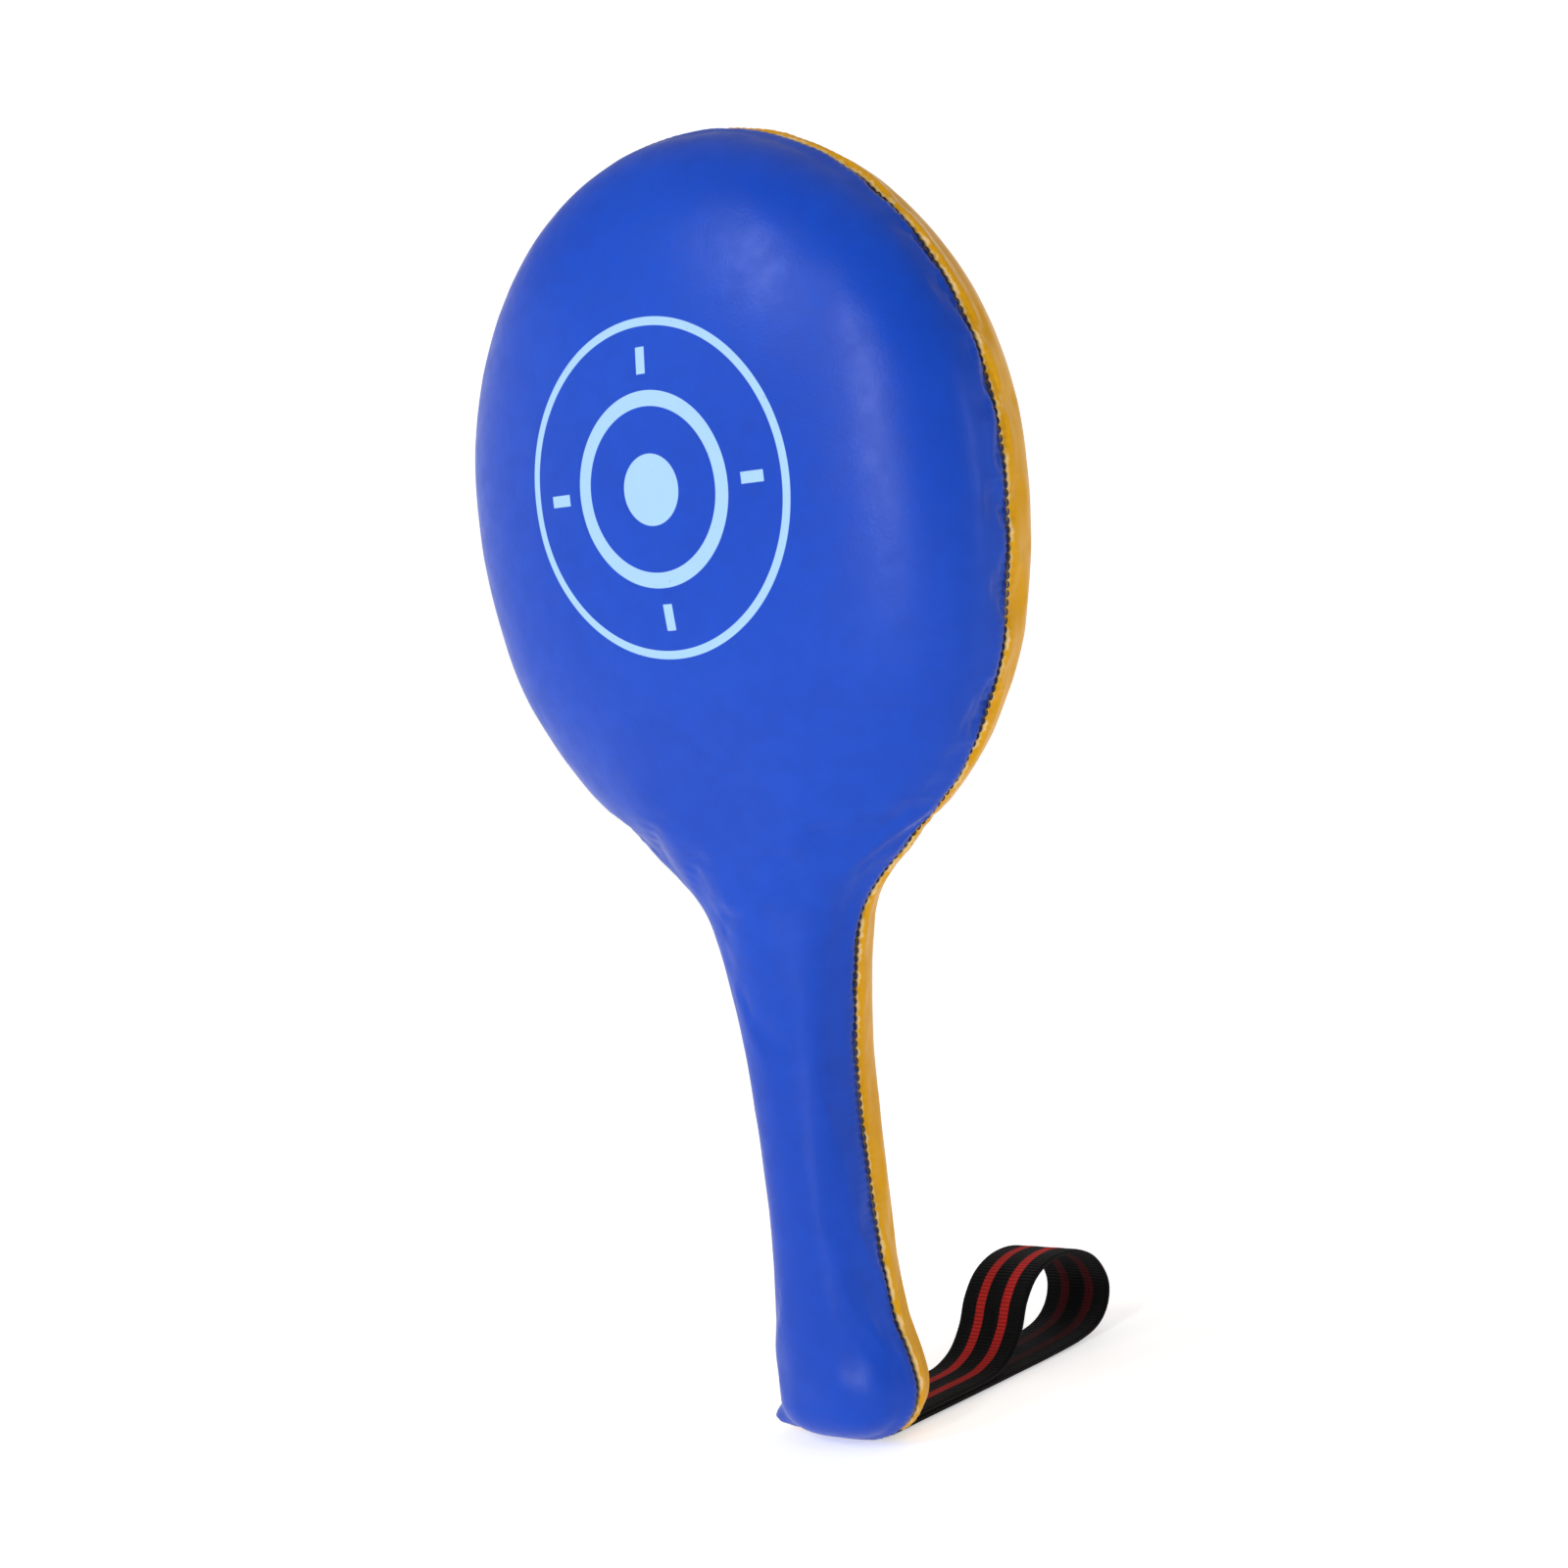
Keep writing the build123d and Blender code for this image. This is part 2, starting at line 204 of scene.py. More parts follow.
# Camera
CAMERA_PLACE = (0.6284, -0.7394, 0.2866)
CAMERA_FORWARD = (-0.6455, 0.7595, -0.0802)
CAMERA_RIGHT = (0.7626, 0.6351, -0.1233)
CAMERA_LENS = 74.0
CAMERA_SENSOR = 36.0
CAMERA_SHIFT = (0.0063, -0.0130)

FRONT, BACK = -1, 1


# ---------------------------------------------------------------- shape of the body


def hermite(stations, z):
    """Smooth value at a height, through stations of (height, value), level at both ends."""
    slopes = [0.0]
    for (z0, s0), _, (z2, s2) in zip(stations, stations[1:], stations[2:]):
        slopes.append((s2 - s0) / (z2 - z0))
    slopes.append(0.0)
    for i in range(len(stations) - 1):
        (z0, s0), (z1, s1) = stations[i], stations[i + 1]
        if z <= z1:
            span = z1 - z0
            t = (z - z0) / span
            start = s0 * (1 + 2 * t) * (1 - t) ** 2 + slopes[i] * span * t * (1 - t) ** 2
            return start + s1 * t * t * (3 - 2 * t) - slopes[i + 1] * span * t * t * (1 - t)
    return stations[-1][1]


def flared(levels, flares):
    """Adds the stations between two levels, given as shares of the rise and of the change."""
    stations = [levels[0]]
    for (z0, s0), (z1, s1), flare in zip(levels, levels[1:], flares):
        stations += [(z0 + (z1 - z0) * rise, s0 + (s1 - s0) * share) for rise, share in flare]
        stations.append((z1, s1))
    return stations


def corner_inset(z, radius):
    """How far a rounded lower corner draws in at a height."""
    if z >= radius:
        return 0.0
    return radius - math.sqrt(radius**2 - (radius - z) ** 2)


def crown(z, start_z, power):
    """How much of the size is left at a height on the way to the top of the head."""
    rise = min(1.0, max(0.0, (z - start_z) / (PAD_HEIGHT - start_z)))
    return (1 - rise**power) ** (1 / power)


def half_width(z):
    """From the middle of the paddle to its seam."""
    levels = [
        (BUTT_Z, BUTT_HALF_WIDTH),
        (GRIP_Z, GRIP_HALF_WIDTH),
        (NECK_Z, NECK_HALF_WIDTH),
        (HEAD_WIDEST_Z, HEAD_HALF_WIDTH),
    ]
    stations = flared(levels, (BUTT_FLARE, GRIP_FLARE, HEAD_WIDTH_FLARE))
    side = hermite(stations, max(z, BUTT_Z)) * crown(z, HEAD_WIDEST_Z, CROWN_POWER)
    return side - corner_inset(z, BUTT_CORNER_WIDTH)


def half_depth(z):
    """From the seam plane to the middle of a face."""
    levels = [
        (BUTT_Z, BUTT_HALF_DEPTH),
        (GRIP_Z, GRIP_HALF_DEPTH),
        (NECK_Z, NECK_HALF_DEPTH),
        (HEAD_DEEPEST_Z, HEAD_HALF_DEPTH),
    ]
    stations = flared(levels, (BUTT_FLARE, GRIP_FLARE, HEAD_DEPTH_FLARE))
    face = hermite(stations, max(z, BUTT_Z)) * crown(z, HEAD_DEEPEST_Z, CROWN_DEPTH_POWER)
    return face - corner_inset(z, BUTT_CORNER_DEPTH)


# ---------------------------------------------------------------- stuffed shells


def seam_rows():
    """Rows evenly spaced along the seam, from the top of the head to the middle of the butt.

    Gives each row's half width, half depth and height, its place along the seam, and the seam
    outline's outward direction there.
    """
    turn = [math.pi * i / OUTLINE_SAMPLES for i in range(OUTLINE_SAMPLES + 1)]
    heights = [PAD_HEIGHT * (1 + math.cos(t)) / 2 for t in turn]
    curve = [(half_width(z), half_depth(z), z) for z in heights]
    width, depth, _ = curve[-1]
    for i in range(1, UNDERSIDE_SAMPLES + 1):
        share = 1 - i / UNDERSIDE_SAMPLES
        curve.append((width * share, depth * share, 0.0))
    curve = np.array(curve)
    along = np.hypot(np.diff(curve[:, 0]), np.diff(curve[:, 2]))
    place = np.concatenate([[0.0], np.cumsum(along)])
    count = round(place[-1] / STITCH_PITCH) * ROWS_PER_STITCH
    even = np.linspace(0, place[-1], count + 1)
    rows = np.stack([np.interp(even, place, curve[:, k]) for k in range(3)], axis=1)
    tangent = np.gradient(rows[:, [0, 2]], axis=0)
    tangent /= np.linalg.norm(tangent, axis=1)[:, None]
    outward = np.stack([-tangent[:, 1], tangent[:, 0]], axis=1)
    return rows, even, outward


def fbm(points, scale, seed):
    """Smooth seeded noise at many points, about -1 to 1."""
    shift = Vector((seed * 7.13, seed * 3.71, seed * 5.39))
    return np.array([noise.noise(Vector(p) / scale + shift) for p in points])


def smoothstep(low, high, value):
    """0 below low, 1 above high, and a smooth rise between."""
    t = np.clip((value - low) / (high - low), 0, 1)
    return t * t * (3 - 2 * t)


def shell_grid(side):
    """Grid of points over one stuffed shell, rows from head to butt, columns from right to left.

    Gives with it each row's place along the seam and each point's distance from the seam plane.
    """
    rows, place, outward = seam_rows()
    rows, place, outward = rows[1:-1], place[1:-1], outward[1:-1]
    steps = np.linspace(0, 1, COLUMNS + 1)
    angle = np.pi / 2 * steps**COLUMN_CROWDING
    angle = np.concatenate([angle, np.pi - angle[-2::-1]])
    cosine, sine = np.cos(angle), np.sin(angle)
    cosine[COLUMNS] = 0.0
    across = np.sign(cosine) * np.abs(cosine) ** (2 / SECTION_POWER)
    out = np.abs(sine) ** (2 / SECTION_POWER)
    out[0] = out[-1] = 0.0
    x = rows[:, 0:1] * across[None, :]
    y = rows[:, 1:2] * out[None, :]
    z = np.repeat(rows[:, 2:3], len(angle), axis=1)
    grid = np.stack([x, side * y, z], axis=2)
    reach = np.abs(y)
    hand = np.sign(across)[None, :]
    hand = np.where(hand == 0, 1, hand)

    phase = np.cos(2 * np.pi * place / STITCH_PITCH)[:, None]
    waver = fbm([(s, 0, side * 3) for s in place], GATHER_SCALE, 2)[:, None]
    neck = smoothstep(*NECK_STARTS, rows[:, 2]) * (1 - smoothstep(*NECK_ENDS, rows[:, 2]))
    valley = -(VALLEY_DEPTH + VALLEY_RIPPLE * phase) * np.exp(-reach / VALLEY_REACH)
    lips = -PUCKER * phase * np.exp(-((reach - LIP_PLACE) ** 2) / PUCKER_REACH**2)
    gather = (GATHER + NECK_GATHER * neck[:, None]) * waver * np.exp(-reach / GATHER_REACH)
    lift = (valley + lips * 0.5 + gather) * side_fade(rows)[:, None]
    grid[:, :, 0] += lift * outward[:, 0:1] * hand
    grid[:, :, 2] += lift * outward[:, 1:2]
    return grid, place, reach


def side_fade(rows):
    """Lets the seam's valley flatten out where it runs across the middle of the butt."""
    return 0.25 + 0.75 * smoothstep(2.0, 12.0, rows[:, 0] + rows[:, 2] * 0.5)


def grid_normals(grid, side):
    """Outward directions at the points of a shell's grid."""
    down = np.gradient(grid, axis=0)
    over = np.gradient(grid, axis=1)
    normal = np.cross(down, over)
    normal /= np.linalg.norm(normal, axis=2)[:, :, None] + 1e-9
    middle = normal[:, grid.shape[1] // 2, 1].mean()
    return normal * (1 if middle * side > 0 else -1)


def dent(grid, centre, radius, depth):
    """Height of a smooth dent round a point, in millimetres."""
    gap = np.linalg.norm((grid - np.array(centre)) / np.array(radius), axis=2)
    return -depth * np.exp(-(gap**2))


def stretched(coarse, rows, columns, shape):
    """Values on a coarse grid spread smoothly over the fine grid they were picked from."""
    along = np.empty((shape[0], len(columns), 3))
    for j in range(len(columns)):
        for k in range(3):
            along[:, j, k] = np.interp(np.arange(shape[0]), rows, coarse[:, j, k])
    fine = np.empty(shape)
    for i in range(shape[0]):
        for k in range(3):
            fine[i, :, k] = np.interp(np.arange(shape[1]), columns, along[i, :, k])
    return fine


def settled(grid, normals, reach, side):
    """The shell after a cloth simulation: leather held at the seam, swelling under the stuffing."""
    inset = START_INSET * smoothstep(1.0, 8.0, reach)[:, :, None]
    start = grid - normals * inset
    rows = list(range(0, grid.shape[0] - 1, CLOTH_ROW_STEP)) + [grid.shape[0] - 1]
    columns = list(range(0, grid.shape[1], CLOTH_COLUMN_STEP))
    coarse = start[rows][:, columns]
    down, over = coarse.shape[:2]
    number = np.arange(down * over).reshape(down, over)
    quads = np.stack([number[:-1, :-1], number[1:, :-1], number[1:, 1:], number[:-1, 1:]], axis=2)
    quads = quads.reshape(-1, 4)[:, ::side].tolist()
    obj = make_mesh("settling_leather", coarse.reshape(-1, 3) * MM, quads, closed=False)
    held = obj.vertex_groups.new(name="seam")
    border = np.concatenate([number[0], number[-1], number[:, 0], number[:, -1]])
    held.add([int(v) for v in set(border.tolist())], 1.0, "REPLACE")
    cloth = obj.modifiers.new("leather", "CLOTH")
    cloth.settings.vertex_group_mass = "seam"
    cloth.settings.use_pressure = True
    cloth.settings.uniform_pressure_force = PRESSURE
    cloth.settings.shrink_min = -SPARE_LEATHER
    cloth.settings.effector_weights.gravity = 0
    cloth.point_cache.frame_end = PRESSURE_FRAMES
    scene = bpy.context.scene
    for frame_number in range(1, PRESSURE_FRAMES + 1):
        scene.frame_set(frame_number)
    result = obj.evaluated_get(bpy.context.evaluated_depsgraph_get()).data
    points = np.empty(len(result.vertices) * 3)
    result.vertices.foreach_get("co", points)
    moved = points.reshape(coarse.shape) / MM - coarse
    length = np.linalg.norm(moved, axis=2, keepdims=True)
    moved *= np.minimum(1.0, SWELL_LIMIT / np.maximum(length, 1e-6))
    mesh = obj.data
    bpy.data.objects.remove(obj)
    bpy.data.meshes.remove(mesh)
    scene.frame_set(1)
    return start + stretched(moved, rows, columns, grid.shape)


def wrinkles(grid, place, reach, side):
    """Height of the leather's folds over the smooth shell."""
    flat = grid.reshape(-1, 3)
    broad = fbm(flat, BROAD_SCALE, 4 + side).reshape(reach.shape)
    fine = fbm(flat, FINE_SCALE, 9 + side).reshape(reach.shape)
    folds = [(s, r / EDGE_FOLD_LENGTH, side * 9) for s, row in zip(place, reach) for r in row]
    folds = fbm(folds, EDGE_SCALE, 13).reshape(reach.shape)
    away = smoothstep(1.0, 9.0, reach)
    height = BROAD_WAVE * broad * away + FINE_WAVE * fine * away
    height += EDGE_FOLD * folds * np.exp(-reach / EDGE_FOLD_REACH) * smoothstep(0.5, 3.0, reach)
    return height


def press_strap_bed(grid, side):
    """Lifts the shells' underside over the folded strap and over its exit at the seam."""
    x, y, z = grid[:, :, 0], grid[:, :, 1], grid[:, :, 2]
    inner, outer = (WEBBING_WIDTH / 2 + margin for margin in BED_SIDES)
    beside = 1 - smoothstep(inner, outer, np.abs(x))
    behind = smoothstep(*BED_FRONT_EDGE, y) if side == FRONT else 1.0
    wanted = BED_ROOF + BED_SLOPE * np.abs(y)
    lift = np.clip(wanted - z, 0, None) * beside * behind
    grid[:, :, 2] = z + lift


def nudge(grid, centre, reach, push):
    """Moves the leather round a point by the same push on both shells, fading with distance."""
    gap = np.linalg.norm((grid - np.array(centre)) / np.array(reach), axis=2)
    grid += np.exp(-(gap**2))[:, :, None] * np.array(push)


def make_mesh(name, verts, faces, closed=True):
    """A smooth-shaded object. A closed mesh gets its faces turned outwards."""
    mesh = bpy.data.meshes.new(name)
    mesh.from_pydata([tuple(v) for v in verts], [], faces)
    mesh.validate()
    if closed:
        turned = bmesh.new()
        turned.from_mesh(mesh)
        bmesh.ops.recalc_face_normals(turned, faces=turned.faces)
        turned.to_mesh(mesh)
        turned.free()
    for polygon in mesh.polygons:
        polygon.use_smooth = True
    obj = bpy.data.objects.new(name, mesh)
    bpy.context.scene.collection.objects.link(obj)
    return obj


def shell_points(side):
    """The finished grid of one shell, in millimetres."""
    grid, place, reach = shell_grid(side)
    normals = grid_normals(grid, side)
    grid = settled(grid, normals, reach, side)
    height = wrinkles(grid, place, reach, side)
    if side == FRONT:
        for centre, radius, depth in FRONT_DENTS:
            height += dent(grid, centre, radius, depth)
    grid += normals * height[:, :, None]
    for centre, nudge_reach, push in CORNER_NUDGES:
        nudge(grid, centre, nudge_reach, push)
    press_strap_bed(grid, side)
    grid[:, :, 2] = np.maximum(grid[:, :, 2], LOWEST_LEATHER)
    grid[:, :, 1] = side * np.maximum(side * grid[:, :, 1], SEAM_GAP)
    return grid


def shell(name, side):
    """One stuffed cover as a closed piece: the outer skin, closed along the seam plane."""
    grid = shell_points(side)
    n_rows, n_cols, _ = grid.shape
    verts = list(grid.reshape(-1, 3))
    top, bottom = len(verts), len(verts) + 1
    verts.append((0.0, side * SEAM_GAP, grid[0, :, 2].max() + 0.02))
    verts.append((0.0, side * SEAM_GAP, grid[-1, :, 2].min()))
    faces = []
    for i in range(n_rows - 1):
        a, b = i * n_cols, (i + 1) * n_cols
        for j in range(n_cols - 1):
            faces.append((a + j, b + j, b + j + 1, a + j + 1))
        faces.append((a, a + n_cols - 1, b + n_cols - 1, b))
    last = (n_rows - 1) * n_cols
    for j in range(n_cols - 1):
        faces.append((top, j, j + 1))
        faces.append((bottom, last + j + 1, last + j))
    faces.append((top, n_cols - 1, 0))
    faces.append((bottom, last, last + n_cols - 1))
    return make_mesh(name, np.array(verts) * MM, faces)


# ---------------------------------------------------------------- materials


class Nodes:
    """A material and short calls that add its nodes."""

    def __init__(self, name):
        self.material = bpy.data.materials.new(name)
        self.material.use_nodes = True
        self.tree = self.material.node_tree
        self.shader = self.tree.nodes["Principled BSDF"]

    def add(self, kind, **settings):
        node = self.tree.nodes.new(kind)
        for key, value in settings.items():
            setattr(node, key, value)
        return node

    def link(self, source, target):
        self.tree.links.new(source, target)

    def put(self, socket, value):
        if isinstance(value, (int, float, tuple)):
            socket.default_value = value
        else:
            self.link(value, socket)

    def math(self, operation, a, b=0.0):
        node = self.add("ShaderNodeMath", operation=operation)
        for socket, value in zip(node.inputs, (a, b)):
            self.put(socket, value)
        return node.outputs[0]

    def ramp(self, value, low, high, to_low=0.0, to_high=1.0):
        node = self.add("ShaderNodeMapRange", interpolation_type="SMOOTHSTEP")
        for socket, part in zip(node.inputs, (value, low, high, to_low, to_high)):
            self.put(socket, part)
        return node.outputs[0]

    def mix(self, share, a, b):
        node = self.add("ShaderNodeMix", data_type="RGBA")
        self.put(node.inputs[0], share)
        self.put(node.inputs[6], a)
        self.put(node.inputs[7], b)
        return node.outputs[2]

    def noise(self, vector, scale, detail=2.0, rough=0.5):
        node = self.add("ShaderNodeTexNoise")
        self.link(vector, node.inputs["Vector"])
        node.inputs["Scale"].default_value = scale
        node.inputs["Detail"].default_value = detail
        node.inputs["Roughness"].default_value = rough
        return node.outputs["Fac"]

    def cells(self, vector, scale):
        node = self.add("ShaderNodeTexVoronoi", feature="SMOOTH_F1")
        self.link(vector, node.inputs["Vector"])
        node.inputs["Scale"].default_value = scale
        return node.outputs["Distance"]

    def bump(self, height, strength, distance, normal=None):
        node = self.add("ShaderNodeBump")
        node.inputs["Strength"].default_value = strength
        node.inputs["Distance"].default_value = distance
        self.link(height, node.inputs["Height"])
        if normal is not None:
            self.link(normal, node.inputs["Normal"])
        return node.outputs["Normal"]

    def set(self, **values):
        for key, value in values.items():
            self.put(self.shader.inputs[key.replace("_", " ")], value)


def rgb(r, g, b):
    """Screen colour, 0 to 255, as the linear colour a shader takes."""
    def linear(c):
        c /= 255
        return c / 12.92 if c <= 0.04045 else ((c + 0.055) / 1.055) ** 2.4
    return (linear(r), linear(g), linear(b), 1.0)


def leather(name, colour, dark, light):
    """Smooth coated leather: fine pebbled grain, faint colour drift and darker mottle; the callers
    add painted shade in the seam's crease.
    """
    m = Nodes(name)
    place = m.add("ShaderNodeTexCoord").outputs["Object"]
    split = m.add("ShaderNodeSeparateXYZ")
    m.link(place, split.inputs[0])
    drift = m.noise(place, 14.0, 3.0)
    mottle = m.noise(place, 160.0, 2.0)
    tone = m.mix(m.ramp(drift, 0.35, 0.65, 0.0, 0.55), colour, light)
    tone = m.mix(m.ramp(mottle, 0.3, 0.7, 0.0, 0.12), tone, dark)
    from_seam = m.math("ABSOLUTE", split.outputs["Y"])
    pebbles = m.cells(place, 1150.0)
    pores = m.noise(place, 2600.0, 3.0, 0.6)
    grain = m.math("ADD", m.math("MULTIPLY", pebbles, 0.8), m.math("MULTIPLY", pores, 0.35))
    soft = m.noise(place, 55.0, 2.0)
    normal = m.bump(soft, 0.25, 0.0009)
    normal = m.bump(grain, 0.16, 0.00022, normal)
    rough = m.math("ADD", m.ramp(mottle, 0.25, 0.75, 0.28, 0.36), m.math("MULTIPLY", pores, 0.06))
    return m, split, from_seam, tone, rough, normal


def front_leather():
    """Blue leather with painted shade darkening it into the seam, and the slightly worn print of a
    target.
    """
    blue, deep, pale = rgb(4, 60, 170), rgb(2, 36, 116), rgb(8, 68, 182)
    ink = rgb(150, 186, 222)
    m, split, from_seam, tone, rough, normal = leather("blue_leather", blue, deep, pale)
    # painted shade: within 3 mm of the seam plane the blue darkens towards the deep blue, most at
    # the bottom of the valley
    tone = m.mix(m.ramp(from_seam, 0.0006, 0.0030, 0.75, 0.0), tone, deep)
    mark = target_mark(m, split)
    wear = m.noise(m.add("ShaderNodeTexCoord").outputs["Object"], 420.0, 4.0, 0.65)
    mark = m.math("MULTIPLY", mark, m.ramp(wear, 0.24, 0.34, 0.55, 1.0))
    tone = m.mix(mark, tone, ink)
    rough = m.math("ADD", rough, m.math("MULTIPLY", mark, 0.08))
    m.set(Base_Color=tone, Roughness=rough, Normal=normal)
    m.set(Specular_IOR_Level=0.22)
    return m.material


def back_leather():
    """Golden leather with a frayed cream edge along the seam, and painted shade darkening the
    bottom of the seam.
    """
    gold, deep, pale = rgb(214, 152, 6), rgb(186, 126, 6), rgb(222, 164, 16)
    cream = rgb(238, 218, 168)
    m, _, from_seam, tone, rough, normal = leather("golden_leather", gold, deep, pale)
    frayed = m.noise(m.add("ShaderNodeTexCoord").outputs["Object"], 260.0, 3.0)
    edge = m.math("ADD", from_seam, m.ramp(frayed, 0.3, 0.7, -0.0007, 0.0007))
    tone = m.mix(m.ramp(edge, 0.0008, 0.0017, 0.55, 0.0), tone, cream)
    # painted shade: dark brown at the bottom of the seam, within about a millimetre of the seam
    # plane
    tone = m.mix(m.ramp(from_seam, 0.0003, 0.0011, 0.8, 0.0), tone, rgb(70, 50, 24))
    m.set(Base_Color=tone, Roughness=rough, Normal=normal)
    m.set(Specular_IOR_Level=0.1)
    return m.material


def target_mark(m, split):
    """Printed target in plain rings, a disc and four short ticks, drawn from its own radii."""
    x = split.outputs["X"]
    z = m.math("SUBTRACT", split.outputs["Z"], TARGET_Z)
    radius = m.math("SQRT", m.math("ADD", m.math("MULTIPLY", x, x), m.math("MULTIPLY", z, z)))

    def band(value, middle, width):
        off = m.math("ABSOLUTE", m.math("SUBTRACT", value, middle))
        return m.ramp(off, width / 2 - PRINT_BLUR, width / 2 + PRINT_BLUR, 1.0, 0.0)

    outer = band(radius, TARGET_RADIUS, TARGET_STROKE)
    inner = band(radius, RING_RADIUS, RING_STROKE)
    disc = m.ramp(radius, DISC_RADIUS - PRINT_BLUR, DISC_RADIUS + PRINT_BLUR, 1.0, 0.0)
    span = band(radius, TICK_RADIUS, TICK_LENGTH)
    cross = m.math("MAXIMUM", band(x, 0.0, TICK_WIDTH), band(z, 0.0, TICK_WIDTH))
    ticks = m.math("MULTIPLY", span, cross)
    mark = m.math("MAXIMUM", m.math("MAXIMUM", outer, inner), m.math("MAXIMUM", disc, ticks))
    return m.math("MULTIPLY", mark, m.ramp(split.outputs["Y"], -0.004, -0.003, 1.0, 0.0))


def webbing_material():
    """Black ribbed webbing with two red stripes, from the strap's own across-and-along map; the
    stripes on one face are painted darker as shade inside the loop, and the rib troughs get painted
    shade.
    """
    m = Nodes("striped_webbing")
    flat = m.add("ShaderNodeUVMap", uv_map="weave").outputs["UV"]
    split = m.add("ShaderNodeSeparateXYZ")
    m.link(flat, split.inputs[0])
    along = split.outputs["Y"]
    # the face whose stripes get painted shade, found by its shifted map
    shaded_side = m.math("GREATER_THAN", split.outputs["X"], SHADED_SIDE_SHIFT / 2)
    across = m.math("SUBTRACT", split.outputs["X"], m.math("MULTIPLY", shaded_side, SHADED_SIDE_SHIFT))
    off = m.math("ABSOLUTE", m.math("SUBTRACT", m.math("ABSOLUTE", across), STRIPE_OFFSET))
    stripe = m.ramp(off, STRIPE_WIDTH / 2 - STRIPE_BLUR, STRIPE_WIDTH / 2 + STRIPE_BLUR, 1.0, 0.0)
    ribs = m.math("SINE", m.math("MULTIPLY", along, 2 * math.pi / RIB_PITCH))
    yarn = m.math("SINE", m.math("MULTIPLY", across, 2 * math.pi / YARN_PITCH))
    fuzz = m.noise(flat, 5.0, 4.0, 0.7)
    black = m.mix(m.ramp(fuzz, 0.3, 0.75), rgb(1, 1, 2), rgb(7, 7, 9))
    red = m.mix(m.ramp(fuzz, 0.3, 0.75), rgb(150, 20, 22), rgb(205, 50, 46))
    # painted shade: the stripes on the face inside the loop are dark red
    red = m.mix(shaded_side, red, rgb(66, 6, 12))
    tone = m.mix(stripe, black, red)
    # painted shade: the troughs between the ribs darken towards near black
    tone = m.mix(m.ramp(ribs, -1.0, -0.2, 0.55, 0.0), tone, rgb(4, 4, 5))
    height = m.math("ADD", m.math("MULTIPLY", ribs, 0.5), m.math("MULTIPLY", yarn, 0.4))
    height = m.math("ADD", height, m.math("MULTIPLY", fuzz, 0.9))
    m.set(Base_Color=tone, Normal=m.bump(height, 0.5, 0.00025))
    m.set(Roughness=m.ramp(fuzz, 0.2, 0.8, 0.62, 0.85), Sheen_Weight=0.04, Specular_IOR_Level=0.06)
    return m.material


def thread_material(name, colour, dark):
    """Thread with its twist shown as fine light and dark flecks."""
    m = Nodes(name)
    place = m.add("ShaderNodeTexCoord").outputs["Object"]
    twist = m.noise(place, 2400.0, 2.0)
    m.set(Base_Color=m.mix(m.ramp(twist, 0.35, 0.65), colour, dark))
    m.set(Normal=m.bump(twist, 0.5, 0.0002), Roughness=m.ramp(twist, 0.2, 0.8, 0.5, 0.8))
    return m.material


def wood_material():
    """Pale splint wood with its grain running up the grip."""
    m = Nodes("splint_wood")
    place = m.add("ShaderNodeTexCoord").outputs["Object"]
    stretch = m.add("ShaderNodeMapping")
    m.link(place, stretch.inputs["Vector"])
    stretch.inputs["Scale"].default_value = (420.0, 420.0, 9.0)
    grain = m.noise(stretch.outputs["Vector"], 1.0, 4.0, 0.6)
    m.set(Base_Color=m.mix(m.ramp(grain, 0.3, 0.7), rgb(206, 168, 116), rgb(158, 112, 66)))
    m.set(Normal=m.bump(grain, 0.3, 0.0002), Roughness=m.ramp(grain, 0.3, 0.7, 0.5, 0.7))
    return m.material


def plain_material(name, colour, shade, scale, roughness, metallic=0.0):
    """Hard inner material with fine mottling at its own scale."""
    m = Nodes(name)
    place = m.add("ShaderNodeTexCoord").outputs["Object"]
    speck = m.noise(place, scale, 4.0, 0.6)
    m.set(Base_Color=m.mix(m.ramp(speck, 0.3, 0.7), colour, shade), Metallic=metallic)
    m.set(Normal=m.bump(speck, 0.2, 0.0001))
    m.set(Roughness=m.ramp(speck, 0.3, 0.7, roughness - 0.08, roughness + 0.08))
    return m.material


def finish_node(name, material):
    """Gives a CAD node that stays its material."""
    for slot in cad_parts[name].material_slots:
        slot.material = material


# ---------------------------------------------------------------- seam stitches


def seam_stitches():
    """One short dipping thread per stitch, laid across the bottom of the seam's valley."""
    rows, _, outward = seam_rows()
    sides, stops = THREAD_SIDES, THREAD_STOPS
    verts, faces = [], []
    for hand in (1, -1):
        for i in range(ROWS_PER_STITCH // 2, len(rows) - 1, ROWS_PER_STITCH):
            width, _, z = rows[i]
            if width + z < MOUTH_WITHOUT_STITCHES:
                continue
            nx, nz = outward[i][0] * hand, outward[i][1]
            tx, tz = -nz, nx
            out = np.array([nx, 0, nz])
            centre = np.array([hand * width, 0.0, z]) - (VALLEY_DEPTH - THREAD_ABOVE_VALLEY) * out
            base = len(verts)
            for k in range(stops):
                t = (k / (stops - 1) - 0.5) * 2
                middle = centre + np.array([tx, 0, tz]) * t * THREAD_HALF_LENGTH
                middle += out * (THREAD_ARCH - THREAD_DIP * t * t)
                thick = THREAD_RADIUS * (1 - THREAD_TAPER * t * t)
                for q in range(sides):
                    a = 2 * math.pi * q / sides
                    around = out * math.cos(a) + np.array([0, 1, 0]) * math.sin(a)
                    verts.append(middle + around * thick)
            for k in range(stops - 1):
                for q in range(sides):
                    a, b = base + k * sides + q, base + k * sides + (q + 1) % sides
                    faces.append((a, b, b + sides, a + sides))
            faces.append(tuple(base + q for q in range(sides))[::-1])
            faces.append(tuple(base + (stops - 1) * sides + q for q in range(sides)))
    return make_mesh("seam_stitches", np.array(verts) * MM, faces)


# ---------------------------------------------------------------- strap


